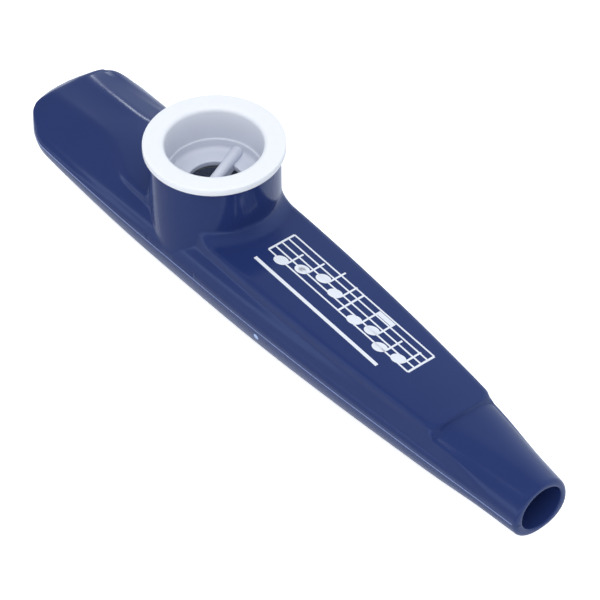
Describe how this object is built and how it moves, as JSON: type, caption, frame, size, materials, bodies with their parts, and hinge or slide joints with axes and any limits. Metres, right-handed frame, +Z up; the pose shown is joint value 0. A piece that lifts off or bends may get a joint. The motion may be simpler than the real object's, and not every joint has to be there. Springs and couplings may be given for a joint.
{
  "type": "kazoo",
  "caption": "Moulded plastic kazoo, wide and flat at the mouth end and round at the other, with a round turret whose cap holds a buzzing membrane.",
  "frame": {"origin": "middle of the overall box, on the plane of the flat that the lower shell stands on", "axes": "+X along the body towards the narrow round end, +Z up through the turret"},
  "size_m": [0.12, 0.0226, 0.0266],
  "materials": {
    "navy_plastic": "polished navy moulding with a satin sheen",
    "white_plastic": "glossy white moulding",
    "ring_plastic": "plain grey ring",
    "clear_film": "thin clear film, stretched flat"
  },
  "bodies": {
    "body": {"upper_shell": "navy_plastic", "lower_shell": "navy_plastic"},
    "cap": {"turret_cap": "white_plastic"},
    "resonator": {"membrane_ring": "ring_plastic", "membrane_film": "clear_film"}
  },
  "joints": [
    {"name": "cap_lift", "type": "slide", "parent": "body", "child": "cap", "axis": [0, 0, 1], "range_m": [0, 0.02]},
    {"name": "resonator_lift", "type": "slide", "parent": "body", "child": "resonator", "axis": [0, 0, 1], "range_m": [0, 0.01]}
  ],
  "couplings": [
    {"joint": "resonator_lift", "follows": "cap_lift", "ratio": 0.5}
  ]
}
